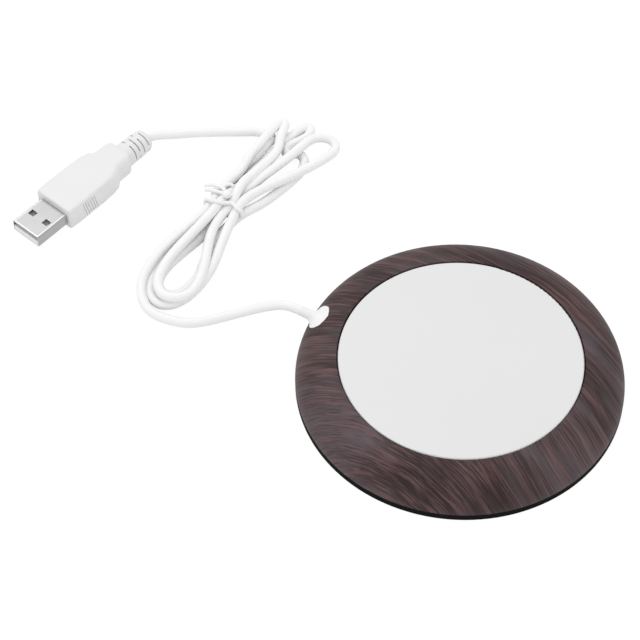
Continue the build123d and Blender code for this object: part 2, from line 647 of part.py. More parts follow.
def plug_tongue():
    """The plastic tongue in the lower half of the shell, with a pocket for each contact."""
    half_width = SHELL_WIDTH / 2 - SHELL_WALL - FIT
    bottom = -SHELL_HEIGHT / 2 + SHELL_WALL
    x_range = (SHELL_BACK_X, MOUTH_X - TONGUE_SETBACK)
    tongue = block(x_range, (-half_width, half_width), (bottom, tongue_top()))
    top_edges = tongue.edges().filter_by(Axis.X).group_by(Axis.Z)[0]
    tongue = chamfer(top_edges, SHELL_WALL)
    for contact in contact_strips():
        tongue -= contact
    return plug_part(tongue)


def contact_strips():
    """The contacts, let into the tongue's top face."""
    strips = []
    for across, length in CONTACT_PLACES:
        front = MOUTH_X - TONGUE_SETBACK - CONTACT_SETBACK
        y_range = (across - CONTACT_WIDTH / 2, across + CONTACT_WIDTH / 2)
        z_range = (tongue_top() - CONTACT_THICKNESS, tongue_top())
        strips.append(block((front - length, front), y_range, z_range))
    return strips


def plug_contacts():
    """The four contacts as one node."""
    return plug_part(Compound(contact_strips()))


def body_outline():
    """The plan of the overmould: wide front, step to a narrower rear, cut shoulders."""
    wide, narrow = PLUG_HALF_WIDTH, PLUG_HALF_WIDTH - PLUG_WAIST_STEP
    right = [
        (BODY_FRONT_X, wide),
        (BODY_STEP_X + PLUG_STEP_LENGTH, wide),
        (BODY_STEP_X, narrow),
        (BODY_REAR_X + PLUG_SHOULDER, narrow),
        (BODY_REAR_X, narrow - PLUG_SHOULDER),
    ]
    left = [(x, -y) for x, y in reversed(right)]
    outline = make_face(Polyline(*right, *left, close=True))
    return fillet(outline.vertices(), PLUG_CORNER)


def inner_mould_shape(grown=0.0):
    """The hard block that carries the shell and the soldered ends, inside the overmould."""
    width, height = SHELL_WIDTH + SHELL_WALL + 2 * grown, SHELL_HEIGHT + SHELL_WALL + 2 * grown
    return bar_along(width, height, SHELL_CORNER, SHELL_BACK_X - INNER_MOULD_LENGTH - grown, SHELL_BACK_X)


def plug_inner_mould():
    """The inner mould behind the shell."""
    return plug_part(inner_mould_shape())


def plug_body():
    """The overmould that the fingers hold, hollow where the shell and the inner mould sit."""
    body = extrude(body_outline(), PLUG_HEIGHT / 2, both=True)
    rims = body.edges().group_by(Axis.Z)
    body = fillet(rims[0] + rims[-1], PLUG_ROUND)
    body -= bar_along(SHELL_WIDTH + FIT, SHELL_HEIGHT + FIT, SHELL_CORNER, SHELL_BACK_X, BODY_FRONT_X)
    return plug_part(body - inner_mould_shape(FIT / 2))


def plug_strain_relief():
    """The ribbed boot behind the body, with its end domed round the cord."""
    mouth = CORD_RADIUS + LOOSE_FIT
    end_flat = mouth + LOOSE_FIT
    rise = BOOT_END_RADIUS - end_flat
    dome = EllipticalCenterArc((BOOT_DOME, end_flat), BOOT_DOME, rise, 90, arc_size=90)
    sides = Polyline(dome @ 1, (0, 0), (BOOT_LENGTH, 0), (BOOT_LENGTH, BOOT_ROOT_RADIUS), dome @ 0)
    boot = revolve(make_face(dome + sides), Axis.X)
    for k in range(BOOT_SLOTS):
        x = BOOT_LENGTH - BOOT_SLOT_PITCH * (k + 1)
        slot = Cylinder(BOOT_ROOT_RADIUS + 1, BOOT_SLOT_WIDTH)
        slot -= Cylinder(BOOT_END_RADIUS - BOOT_SLOT_DEPTH, BOOT_SLOT_WIDTH)
        boot -= Pos(x, 0, 0) * Rot(0, 90, 0) * slot
    bore = Cylinder(CORD_RADIUS + FIT, 2 * BOOT_BORE_DEPTH)
    bore += Pos(0, 0, BOOT_DOME / 2) * Cone(mouth, CORD_RADIUS + FIT, BOOT_DOME)
    return plug_part(boot - Rot(0, 90, 0) * bore)


PARTS = {
    "ring_cover": ring_cover,
    "heating_plate": heating_plate,
    "plate_seal": plate_seal,
    "heater_film": heater_film,
    "heater_track": heater_track,
    "solder_joints": solder_joints,
    "insulation_pad": insulation_pad,
    "heat_shield": heat_shield,
    "base_plate": base_plate,
    "base_screws": base_screws,
    "foot_pad": foot_pad,
    "cord_grommet": cord_grommet,
    "cord_inner_end": cord_inner_end,
    "cord_clamp": cord_clamp,
    "clamp_screws": clamp_screws,
    "lead_wire_red": lambda: lead_wire("lead_wire_red", 1),
    "lead_wire_black": lambda: lead_wire("lead_wire_black", -1),
    "cord_lead": lambda: round_cable("cord_lead", lead_points(), CORD_DIAMETER),
    "cord_hank": cord_hank,
    "cord_tail": lambda: round_cable("cord_tail", tail_points(), CORD_DIAMETER),
    "twist_tie": twist_tie,
    "plug_shell": plug_shell,
    "plug_tongue": plug_tongue,
    "plug_contacts": plug_contacts,
    "plug_inner_mould": plug_inner_mould,
    "plug_body": plug_body,
    "plug_strain_relief": plug_strain_relief,
}

os.makedirs("parts", exist_ok=True)
for node, make in PARTS.items():
    export_step(make(), f"parts/{node}.step")
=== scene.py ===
import math

import bmesh
import bpy
from mathutils import Matrix, Vector


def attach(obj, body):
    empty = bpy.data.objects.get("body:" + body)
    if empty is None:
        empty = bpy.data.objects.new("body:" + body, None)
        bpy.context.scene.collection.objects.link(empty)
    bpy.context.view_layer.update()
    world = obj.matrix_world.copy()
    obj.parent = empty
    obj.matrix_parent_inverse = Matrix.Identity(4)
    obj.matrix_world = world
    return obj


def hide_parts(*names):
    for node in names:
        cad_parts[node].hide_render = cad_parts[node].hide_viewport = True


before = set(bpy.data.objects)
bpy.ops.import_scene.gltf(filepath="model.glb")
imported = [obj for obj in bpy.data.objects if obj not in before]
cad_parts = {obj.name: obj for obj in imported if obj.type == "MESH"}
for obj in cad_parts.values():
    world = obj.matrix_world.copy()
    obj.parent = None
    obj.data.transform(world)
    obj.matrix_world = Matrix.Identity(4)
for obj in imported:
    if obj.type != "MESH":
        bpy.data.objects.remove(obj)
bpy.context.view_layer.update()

bpy.ops.object.select_all(action="DESELECT")

# ---- The camera ----
# It stands two thirds of a metre away, in front of the warmer and to its right, and looks down
# at it from well above the table with a long lens.
CAMERA_PLACE = (0.1150, -0.37614, 0.52906)
CAMERA_TURN, CAMERA_TILT, CAMERA_ROLL = 23.400, 38.210, -0.7925
CAMERA_LENS, CAMERA_FILM = 116.60, 36.0

camera = bpy.data.objects.new("camera", bpy.data.cameras.new("camera"))
camera.data.lens, camera.data.sensor_width = CAMERA_LENS, CAMERA_FILM
camera.matrix_world = (
    Matrix.Translation(CAMERA_PLACE)
    @ Matrix.Rotation(math.radians(CAMERA_TURN), 4, "Z")
    @ Matrix.Rotation(math.radians(CAMERA_TILT), 4, "X")
    @ Matrix.Rotation(math.radians(CAMERA_ROLL), 4, "Z")
)
bpy.context.scene.collection.objects.link(camera)
bpy.context.scene.camera = camera


# ---- The cord ----
# A round two-core flex with a soft white jacket of PVC, extruded in one length. It leaves the
# grommet, is folded into a small hank that a wire tie gathers, and goes on into the plug's boot.
CORD_DIAMETER = 0.0033
CORD_STEPS, CORD_SIDES = 8, 6  # along each part of the line, and round a quarter of the jacket
WHITE_PVC, WHITE_PVC_SHADE = (0.90, 0.90, 0.90), (0.86, 0.86, 0.865)
CORD_ROUGHNESS = 0.44
PVC_CLOUD_SIZE = 0.006
PVC_GRAIN_SIZE, PVC_GRAIN_FINENESS, PVC_GRAIN_DEPTH = 0.00035, 0.6, 0.000012
PVC_GRAIN_SHINE = 0.12  # how much the roughness differs over the grain

LEAD_TO_HANK = (  # out of the grommet and down to the table
    (-0.0540, 0.0000, 0.0100), (-0.0575, 0.0000, 0.0107), (-0.0612, -0.0002, 0.0102),
    (-0.0648, -0.0006, 0.0084), (-0.0690, -0.0013, 0.0059), (-0.0733, -0.0029, 0.0039),
    (-0.0781, -0.0054, 0.0023), (-0.0829, -0.0089, 0.0017), (-0.0865, -0.0114, 0.0017),
    (-0.0900, -0.0130, 0.0017), (-0.0937, -0.0136, 0.0017),
)
FIRST_TURN = (  # the outer near turn, up to the tie, and the far side up to the first tip
    (-0.0992, -0.0138, 0.0017), (-0.1043, -0.0122, 0.0020), (-0.1084, -0.0074, 0.0026),
    (-0.1101, -0.0023, 0.0035), (-0.1100, 0.0036, 0.0042), (-0.1090, 0.0115, 0.0043),
    (-0.1062, 0.0205, 0.0043), (-0.1030, 0.0291, 0.0047), (-0.1018, 0.0346, 0.0051),
    (-0.1015, 0.0399, 0.0050), (-0.1011, 0.0451, 0.0054), (-0.0994, 0.0495, 0.0049),
    (-0.0989, 0.0535, 0.0049), (-0.0991, 0.0583, 0.0051), (-0.0983, 0.0634, 0.0054),
    (-0.0974, 0.0668, 0.0057), (-0.0970, 0.0703, 0.0057), (-0.0965, 0.0734, 0.0055),
    (-0.0961, 0.0760, 0.0053), (-0.0952, 0.0779, 0.0052),
)
SECOND_TURN = (  # down to the tie, the inner near turn, back up to the tie
    (-0.0934, 0.0781, 0.0051), (-0.0930, 0.0745, 0.0049), (-0.0926, 0.0706, 0.0049),
    (-0.0914, 0.0673, 0.0049), (-0.0911, 0.0633, 0.0052), (-0.0920, 0.0590, 0.0054),
    (-0.0932, 0.0540, 0.0060), (-0.0943, 0.0493, 0.0065), (-0.0955, 0.0462, 0.0066),
    (-0.0956, 0.0406, 0.0063), (-0.0953, 0.0358, 0.0056), (-0.0968, 0.0305, 0.0051),
    (-0.0969, 0.0236, 0.0049), (-0.0951, 0.0163, 0.0049), (-0.0929, 0.0093, 0.0049),
    (-0.0915, 0.0023, 0.0049), (-0.0920, -0.0043, 0.0051), (-0.0961, -0.0075, 0.0051),
    (-0.1006, -0.0075, 0.0051), (-0.1041, -0.0038, 0.0052), (-0.1050, 0.0023, 0.0054),
    (-0.1045, 0.0090, 0.0055), (-0.1029, 0.0163, 0.0058), (-0.1009, 0.0238, 0.0063),
    (-0.0992, 0.0313, 0.0069), (-0.0986, 0.0370, 0.0064),
)
THIRD_TURN = (  # to the second tip and down, the innermost near turn, back up to the tie
    (-0.0984, 0.0421, 0.0047), (-0.0971, 0.0468, 0.0028), (-0.0965, 0.0547, 0.0018),
    (-0.0953, 0.0581, 0.0017), (-0.0942, 0.0621, 0.0017), (-0.0932, 0.0663, 0.0017),
    (-0.0923, 0.0710, 0.0017), (-0.0912, 0.0745, 0.0017), (-0.0899, 0.0777, 0.0017),
    (-0.0888, 0.0804, 0.0017), (-0.0874, 0.0821, 0.0017), (-0.0858, 0.0824, 0.0017),
    (-0.0849, 0.0791, 0.0017), (-0.0861, 0.0760, 0.0019), (-0.0882, 0.0728, 0.0022),
    (-0.0903, 0.0695, 0.0020), (-0.0881, 0.0668, 0.0017), (-0.0857, 0.0698, 0.0017),
    (-0.0822, 0.0682, 0.0017), (-0.0807, 0.0641, 0.0017), (-0.0815, 0.0590, 0.0017),
    (-0.0838, 0.0522, 0.0017), (-0.0872, 0.0439, 0.0017), (-0.0903, 0.0376, 0.0030),
    (-0.0927, 0.0348, 0.0017), (-0.0941, 0.0296, 0.0017), (-0.0961, 0.0222, 0.0017),
    (-0.0948, 0.0121, 0.0017), (-0.0938, 0.0062, 0.0017), (-0.0948, 0.0020, 0.0017),
    (-0.0960, -0.0020, 0.0017), (-0.0986, -0.0045, 0.0017), (-0.1019, -0.0045, 0.0017),
    (-0.1045, -0.0025, 0.0023), (-0.1053, 0.0001, 0.0024), (-0.1053, 0.0030, 0.0025),
    (-0.1048, 0.0067, 0.0024), (-0.1040, 0.0104, 0.0022), (-0.1028, 0.0143, 0.0020),
    (-0.1015, 0.0185, 0.0017), (-0.0998, 0.0227, 0.0019), (-0.0989, 0.0308, 0.0021),
    (-0.0973, 0.0377, 0.0032),
)
FOURTH_TURN = (  # round the big far loop, the second near turn, back up beneath the rest
    (-0.0952, 0.0427, 0.0033), (-0.0932, 0.0468, 0.0045), (-0.0910, 0.0527, 0.0047),
    (-0.0884, 0.0588, 0.0048), (-0.0861, 0.0645, 0.0048), (-0.0841, 0.0705, 0.0049),
    (-0.0825, 0.0758, 0.0044), (-0.0786, 0.0787, 0.0034), (-0.0751, 0.0785, 0.0025),
    (-0.0735, 0.0753, 0.0023), (-0.0747, 0.0704, 0.0032), (-0.0774, 0.0635, 0.0047),
    (-0.0818, 0.0563, 0.0051), (-0.0863, 0.0504, 0.0051), (-0.0900, 0.0451, 0.0051),
    (-0.0926, 0.0387, 0.0058), (-0.0928, 0.0327, 0.0051), (-0.0923, 0.0259, 0.0049),
    (-0.0918, 0.0194, 0.0038), (-0.0910, 0.0124, 0.0029), (-0.0912, 0.0052, 0.0026),
    (-0.0926, -0.0017, 0.0024), (-0.0959, -0.0075, 0.0020), (-0.1006, -0.0094, 0.0017),
    (-0.1048, -0.0074, 0.0017), (-0.1073, -0.0027, 0.0017), (-0.1084, 0.0030, 0.0017),
    (-0.1081, 0.0101, 0.0017), (-0.1061, 0.0180, 0.0017), (-0.1039, 0.0263, 0.0017),
    (-0.1017, 0.0333, 0.0021), (-0.1003, 0.0384, 0.0030), (-0.1005, 0.0428, 0.0024),
    (-0.0998, 0.0473, 0.0020),
)
HANK_TO_PLUG = (  # past the tie, round the last bend and along the table to the boot
    (-0.1000, 0.0542, 0.0017), (-0.0992, 0.0580, 0.0017), (-0.0977, 0.0615, 0.0026),
    (-0.0968, 0.0646, 0.0030), (-0.0963, 0.0676, 0.0032), (-0.0957, 0.0707, 0.0030),
    (-0.0969, 0.0733, 0.0026), (-0.0997, 0.0732, 0.0020), (-0.1025, 0.0738, 0.0017),
    (-0.1075, 0.0715, 0.0017), (-0.1131, 0.0692, 0.0017), (-0.1188, 0.0667, 0.0017),
    (-0.1242, 0.0641, 0.0017), (-0.1289, 0.0612, 0.0019), (-0.1338, 0.0572, 0.0035),
    (-0.1359, 0.0541, 0.0042), (-0.1370, 0.0507, 0.0042),
)


class Value:
    """A number, colour or vector inside a material. Sums with it add Math nodes."""

    def __init__(self, finish, socket):
        self.finish, self.socket = finish, socket

    def __add__(self, other):
        return self.finish.maths("ADD", self, other)

    def __sub__(self, other):
        return self.finish.maths("SUBTRACT", self, other)

    def __rsub__(self, other):
        return self.finish.maths("SUBTRACT", other, self)

    def __mul__(self, other):
        return self.finish.maths("MULTIPLY", self, other)

    def __truediv__(self, other):
        return self.finish.maths("DIVIDE", self, other)

    def __rtruediv__(self, other):
        return self.finish.maths("DIVIDE", other, self)

    def __pow__(self, other):
        return self.finish.maths("POWER", self, other)

    __radd__, __rmul__ = __add__, __mul__


class Finish:
    """One material: a Principled shader, with what is the same all over set on its own sockets."""

    def __init__(self, name, constants):
        self.material = bpy.data.materials.new(name)
        self.material.use_nodes = True
        self.shader = self.material.node_tree.nodes["Principled BSDF"]
        for key, value in constants.items():
            self.shader.inputs[key].default_value = value

    def node(self, kind, settings=None, sockets=None, outlet=0):
        """Adds a node, sets its operation, its ramp's stops or the like, then feeds its sockets."""
        node = self.material.node_tree.nodes.new(kind)
        for key, value in (settings or {}).items():
            if key != "stops":
                setattr(node, key, value)
                continue
            elements = node.color_ramp.elements
            while len(elements) < len(value):
                elements.new(1)
            for element, (place, colour) in zip(elements, value):
                element.position, element.color = place, (*colour, 1)
        for key, value in (sockets or {}).items():
            self.feed(node, key, value)
        return Value(self, node.outputs[outlet])

    def outlets(self, value, *names):
        """Other outlets of the node that a value comes from."""
        return [Value(self, value.socket.node.outputs[name]) for name in names]

    def feed(self, node, key, value):
        """Links or sets one socket, found by its number, its name or its identifier."""
        found = [s for i, s in enumerate(node.inputs) if key in (i, s.identifier, s.name)]
        if isinstance(value, Value):
            self.material.node_tree.links.new(value.socket, found[0])
        else:
            found[0].default_value = value

    def maths(self, operation, *terms):
        return self.node("ShaderNodeMath", {"operation": operation}, dict(enumerate(terms)))

    def place(self):
        """Where a point is on the piece, in metres."""
        return self.node("ShaderNodeTexCoord", outlet=3)

    def noise(self, size, detail=2.0, fineness=0.5, where=None):
        """Smooth noise with features of that size in metres, from 0 to 1."""
        sockets = {"Vector": where or self.place(), "Scale": 1 / size}
        sockets.update({"Detail": detail, "Roughness": fineness})
        return self.node("ShaderNodeTexNoise", None, sockets)

    def ramp(self, value, *stops):
        return self.node("ShaderNodeValToRGB", {"stops": stops}, {0: value})

    def between(self, share, first, second):
        """A colour between two, by share."""
        first, second = ((*c, 1) if isinstance(c, tuple) else c for c in (first, second))
        colours = {"Factor_Float": share, "A_Color": first, "B_Color": second}
        return self.node("ShaderNodeMix", {"data_type": "RGBA"}, colours, outlet=2)

    def colour(self, value):
        self.feed(self.shader, "Base Color", value)

    def roughness(self, value):
        self.feed(self.shader, "Roughness", value)

    def relief(self, height, depth):
        """Bumps of that depth in metres, from a height of 0 to 1."""
        bump = self.node("ShaderNodeBump", None, {"Distance": depth, "Height": height})
        self.feed(self.shader, "Normal", bump)
        return self


def soft_white(name, roughness, colour=WHITE_PVC, shade=WHITE_PVC_SHADE):
    """White plastic with faint clouds in its colour and the fine grain of a moulded skin."""
    finish = Finish(name, {"IOR": 1.46})
    clouds = finish.noise(PVC_CLOUD_SIZE, detail=3)
    finish.colour(finish.between(clouds, colour, shade))
    grain = finish.noise(PVC_GRAIN_SIZE, detail=3, fineness=PVC_GRAIN_FINENESS)
    finish.roughness(roughness + PVC_GRAIN_SHINE * (grain - 0.5))
    return finish.relief(grain, PVC_GRAIN_DEPTH)


def drawn(name, points, thickness, steps, sides, closed=False):
    """A round length of flex or wire along a smooth line that those points guide."""
    curve = bpy.data.curves.new(name, "CURVE")
    curve.dimensions = "3D"
    line = curve.splines.new("NURBS")
    line.points.add(len(points) - 1)
    for point, place in zip(line.points, points):
        point.co = (*place, 1)
    line.order_u, line.use_endpoint_u, line.use_cyclic_u = 3, not closed, closed
    line.use_smooth = True
    curve.resolution_u, curve.bevel_resolution = steps, sides
    curve.bevel_depth, curve.use_fill_caps = thickness / 2, not closed
    piece = bpy.data.objects.new(name, curve)
    bpy.context.scene.collection.objects.link(piece)
    return piece


def finish_piece(piece, name, finish, slot, *replaced):
    """Names a new piece, gives it its finish, and sets it in place of those nodes. The slot is not
    used.
    """
    piece.name = piece.data.name = name
    piece.data.materials.clear()
    piece.data.materials.append(finish.material)
    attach(piece, "root")
    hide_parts(*replaced)
    return piece


cord_points = LEAD_TO_HANK + FIRST_TURN + SECOND_TURN + THIRD_TURN + FOURTH_TURN + HANK_TO_PLUG
cord = drawn("cord", cord_points, CORD_DIAMETER, CORD_STEPS, CORD_SIDES)
cord_jacket = soft_white("cord_jacket", CORD_ROUGHNESS)
finish_piece(cord, "cord", cord_jacket, "cord", "cord_lead", "cord_hank", "cord_tail")


# ---- The twist tie ----
# A thin soft wire in a white plastic sleeve. It goes twice round the waist of the hank, and its
# ends are twisted into a knot on top and left standing a little way out.
TIE_WIRE = 0.0013
TIE_STEPS, TIE_SIDES = 10, 4
TIE_ROUGHNESS = 0.38
FRONT_TURN = (  # up the left side of the hank, over the top of each strand, down and back beneath
    (-0.1044, 0.0345, 0.0050), (-0.1040, 0.0345, 0.0064), (-0.1029, 0.0340, 0.0073),
    (-0.1004, 0.0332, 0.0086), (-0.0983, 0.0331, 0.0089), (-0.0969, 0.0339, 0.0080),
    (-0.0958, 0.0347, 0.0079), (-0.0945, 0.0352, 0.0078), (-0.0932, 0.0346, 0.0076),
    (-0.0922, 0.0338, 0.0075), (-0.0912, 0.0338, 0.0071), (-0.0904, 0.0341, 0.0060),
    (-0.0906, 0.0338, 0.0046), (-0.0912, 0.0350, 0.0030), (-0.0919, 0.0358, 0.0012),
    (-0.0930, 0.0355, 0.0007), (-0.0965, 0.0350, 0.0007), (-0.1005, 0.0345, 0.0007),
    (-0.1030, 0.0345, 0.0012), (-0.1042, 0.0345, 0.0030),
)
BACK_TURN = (  # up the same side, over the two strands on the left and down between the others
    (-0.1040, 0.0400, 0.0045), (-0.1030, 0.0397, 0.0066), (-0.1008, 0.0400, 0.0074),
    (-0.1003, 0.0419, 0.0073), (-0.0994, 0.0434, 0.0069), (-0.0982, 0.0437, 0.0064),
    (-0.0972, 0.0434, 0.0050), (-0.0967, 0.0438, 0.0030), (-0.0968, 0.0436, 0.0010),
    (-0.0990, 0.0428, 0.0007), (-0.1015, 0.0418, 0.0007), (-0.1035, 0.0408, 0.0012),
    (-0.1043, 0.0402, 0.0028),
)
LOOSE_ENDS = (  # from the knot to the left
    (
        (-0.0985, 0.0385, 0.0088), (-0.0997, 0.0398, 0.0082), (-0.1018, 0.0404, 0.0078),
        (-0.1045, 0.0406, 0.0074), (-0.1068, 0.0397, 0.0069),
    ),
    (
        (-0.0980, 0.0375, 0.0088), (-0.0995, 0.0376, 0.0084), (-0.1012, 0.0382, 0.0075),
        (-0.1040, 0.0386, 0.0069), (-0.1060, 0.0384, 0.0063),
    ),
)
KNOT_PLACE, KNOT_SIZE = (-0.0975, 0.0375, 0.0086), (0.0016, 0.0017, 0.0014)
KNOT_SIDES, KNOT_RINGS = 24, 12


def tie_wire(name, points, closed):
    """A length of the tie's wire."""
    return drawn(name, points, TIE_WIRE, TIE_STEPS, TIE_SIDES, closed)


def select_only(*pieces):
    """Selects these pieces alone, the last one active."""
    bpy.ops.object.select_all(action="DESELECT")
    for piece in pieces:
        piece.select_set(True)
    bpy.context.view_layer.objects.active = pieces[-1]


def join(pieces):
    """The pieces as one mesh, in the frame of the last."""
    select_only(*pieces)
    bpy.ops.object.convert(target="MESH")
    bpy.ops.object.join()
    return bpy.context.object


bpy.ops.mesh.primitive_uv_sphere_add(
    segments=KNOT_SIDES, ring_count=KNOT_RINGS, radius=1, location=KNOT_PLACE, scale=KNOT_SIZE
)
knot = bpy.context.object
bpy.ops.object.transform_apply()
bpy.ops.object.shade_smooth()
tie = join([
    knot,
    *(tie_wire("loose_end", points, False) for points in LOOSE_ENDS),
    tie_wire("front_turn", FRONT_TURN, True),
    tie_wire("back_turn", BACK_TURN, True),
])
tie_sleeve = soft_white("tie_sleeve", TIE_ROUGHNESS)
finish_piece(tie, "twist_tie_wire", tie_sleeve, "twist_tie", "twist_tie")


# ---- The ring ----
# One moulding of heat-proof plastic with a dark wood-look film on it, sealed under satin lacquer.
# The film's grain runs in long arcs about a point in front of the warmer, to the left.
GRAIN_CENTRE = (-0.0052, -0.1030, 0)
GRAIN_TURN, GRAIN_SQUEEZE = 23.4, 0.79  # the way that the arcs are squeezed, and how much
GRAIN_LEAN = 0.35  # how much the grain moves out for each step that it goes down the dome
GRAIN_RADIUS = 0.11  # how far from the centre the streaks have the length that they are given
SWAY_SIZE, SWAY = 0.030, 0.003
STREAK_FINENESS = 0.55

BARK_DARK, BARK, BARK_LIGHT = (0.020, 0.010, 0.0105), (0.042, 0.0235, 0.024), (0.080, 0.052, 0.053)
ROSE_STREAK, ASH_STREAK = (0.178, 0.096, 0.101), (0.082, 0.069, 0.077)
HEARTWOOD, LILAC = (0.026, 0.012, 0.013), (0.125, 0.096, 0.106)
BARK_STOPS = ((0.32, BARK_DARK), (0.46, BARK), (0.56, BARK), (0.70, BARK_LIGHT))

BANDS = (0.0050, 0.050, 4)  # width, length and detail of the streaks; then where they set in
ASH, ASH_EDGE, ASH_SHARE = (0.0060, 0.030, 4), (0.46, 0.66), 0.75
ROSE, ROSE_EDGE, ROSE_SHARE = (0.0016, 0.026, 5), (0.50, 0.70), 0.48
LINES, LINES_EDGE, LINES_SHARE = (0.00040, 0.022, 4), (0.52, 0.66), 0.55
PORES, PORES_EDGE, PORES_SHARE = (0.00038, 0.014, 3), (0.34, 0.46), 0.55
HEART_SIZE, HEART_EDGE, HEART_SHARE = 0.026, (0.46, 0.60), 0.45

PATCHES = (  # place, reach, colour and share of broad darker and paler patches at set places on the ring
    ((-0.026, -0.038, 0.009), 0.024, LILAC, 0.60),
    ((0.041, -0.023, 0.009), 0.018, LILAC, 0.30),
    ((0.012, -0.050, 0.009), 0.029, HEARTWOOD, 0.85),
    ((-0.038, -0.007, 0.009), 0.018, HEARTWOOD, 0.35),
    ((-0.050, -0.016, 0.005), 0.012, LILAC, 0.30),
)
PATCH_RAGGED, PATCH_FADE = 0.022, 0.7  # how far the bands move a patch's edge, and how it fades
LACQUER_ROUGHNESS, LACQUER_SPREAD = 0.46, 0.18
PORES_SUNK, FILM_DEPTH = 0.6, 0.00003  # the pores' depth against the streaks', and the whole


def dress(node, finish):
    """Gives a CAD node its finish."""
    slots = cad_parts[node].data.materials
    slots.clear()
    slots.append(finish.material)


ring = Finish("wood_film", {"IOR": 1.47, "Specular IOR Level": 0.25})
centred = {"Vector": ring.place(), "Location": tuple(-c for c in GRAIN_CENTRE)}
centred = ring.node("ShaderNodeMapping", {"vector_type": "POINT"}, centred)
turned = {"Vector": centred, "Angle": -math.radians(GRAIN_TURN)}
turned = ring.node("ShaderNodeVectorRotate", {"rotation_type": "Z_AXIS"}, turned)
swayed = {0: ring.noise(SWAY_SIZE, where=turned), 1: (SWAY,) * 3, 2: turned}
swayed = ring.node("ShaderNodeVectorMath", {"operation": "MULTIPLY_ADD"}, swayed)
parts = ring.node("ShaderNodeSeparateXYZ", None, {0: swayed})
across, depth, drop = ring.outlets(parts, "X", "Y", "Z")
depth = depth * GRAIN_SQUEEZE
reach = (across * across + depth * depth) ** 0.5 + GRAIN_LEAN * drop
bearing = ring.maths("ARCTAN2", depth, across)


def streaks(width, length, detail):
    """Noise drawn out along the grain, with streaks of that width and length in metres."""
    flat = {"X": reach / width, "Y": bearing * (GRAIN_RADIUS / length)}
    flat = ring.node("ShaderNodeCombineXYZ", None, flat)
    sockets = {"Vector": flat, "Scale": 1.0, "Detail": detail, "Roughness": STREAK_FINENESS}
    return ring.node("ShaderNodeTexNoise", {"noise_dimensions": "2D"}, sockets)


def above(pattern, low, high):
    """How far a pattern has risen from one level to another, from 0 to 1."""
    return ring.ramp(pattern, (low, (0, 0, 0)), (high, (1, 1, 1)))


def below(pattern, low, high):
    return ring.ramp(pattern, (low, (1, 1, 1)), (high, (0, 0, 0)))


bands = streaks(*BANDS)
tone = ring.ramp(bands, *BARK_STOPS)
tone = ring.between(ASH_SHARE * above(streaks(*ASH), *ASH_EDGE), tone, ASH_STREAK)
heart = above(ring.noise(HEART_SIZE, detail=1, where=turned), *HEART_EDGE)
tone = ring.between(HEART_SHARE * heart, tone, HEARTWOOD)
for place, patch_reach, colour, share in PATCHES:
    away = {0: ring.place(), 1: place}
    away = ring.node("ShaderNodeVectorMath", {"operation": "DISTANCE"}, away, outlet="Value")
    away = away + PATCH_RAGGED * (bands - 0.5)
    inside = ring.maths("MAXIMUM", 1 - away / patch_reach, 0)
    tone = ring.between(share * inside ** PATCH_FADE, tone, colour)
tone = ring.between(ROSE_SHARE * above(streaks(*ROSE), *ROSE_EDGE), tone, ROSE_STREAK)
fine = streaks(*LINES)
tone = ring.between(LINES_SHARE * above(fine, *LINES_EDGE), tone, ROSE_STREAK)
pores = below(streaks(*PORES), *PORES_EDGE)
tone = ring.between(PORES_SHARE * pores, tone, BARK_DARK)
ring.colour(tone)
ring.roughness(LACQUER_ROUGHNESS + LACQUER_SPREAD * fine)
ring.relief(fine - PORES_SUNK * pores, FILM_DEPTH)
dress("ring_cover", ring)


# ---- The heating plate ----
# A disc of pressed metal under a smooth pale enamel, with a small round at its edge. It lies on
# a bead of silicone inside the ring, a little below the ring's rim.
PLATE_ENAMEL, PLATE_SHADE = (0.732, 0.732, 0.731), (0.716, 0.716, 0.715)
ENAMEL_CLOUD_SIZE = 0.035
PEEL_SIZE, PEEL_DEPTH = 0.0016, 0.000004
ENAMEL_ROUGHNESS, ENAMEL_SPREAD = 0.36, 0.06

plate = Finish("plate_enamel", {"IOR": 1.5})
plate.colour(plate.between(plate.noise(ENAMEL_CLOUD_SIZE, detail=3), PLATE_ENAMEL, PLATE_SHADE))
orange_peel = plate.noise(PEEL_SIZE, detail=2)
plate.roughness(ENAMEL_ROUGHNESS + ENAMEL_SPREAD * orange_peel)
plate.relief(orange_peel, PEEL_DEPTH)
dress("heating_plate", plate)


# ---- The foot ----
# A round of black foam rubber, die-cut and stuck under the base. It keeps the warmer from
# sliding, and its cut edge shows as a thin dark band.
FOAM, FOAM_DUST = (0.003, 0.003, 0.003), (0.012, 0.011, 0.011)
FOAM_ROUGHNESS, FOAM_SPREAD = 0.85, 0.1
CELL_SIZE, CELL_DEPTH = 0.0007, 0.00012

foam = Finish("foam_rubber", {"IOR": 1.4, "Specular IOR Level": 0.1})
cells = {"Vector": foam.place(), "Scale": 1 / CELL_SIZE, "Randomness": 1.0}
cells = foam.node("ShaderNodeTexVoronoi", {"feature": "F1"}, cells)
foam.colour(foam.between(cells, FOAM, FOAM_DUST))
foam.roughness(FOAM_ROUGHNESS + FOAM_SPREAD * cells)
foam.relief(cells, CELL_DEPTH)
dress("foot_pad", foam)


# ---- The base and what closes the ring ----
# A black moulded disc with ribs, screwed into the ring from below, a clamp that holds the cord,
# and small zinc-plated screws.
BLACK_ABS, BLACK_ABS_WORN = (0.018, 0.018, 0.019), (0.030, 0.030, 0.031)
ZINC, ZINC_DULL = (0.62, 0.62, 0.60), (0.45, 0.45, 0.44)
MOULD_CLOUD_SIZE, MOULD_GRAIN_DEPTH, MOULD_SPREAD = 0.01, 0.00002, 0.12
SCRATCH_SIZE, SCRATCH_DEPTH, SCRATCH_SPREAD = 0.0002, 0.000004, 0.15


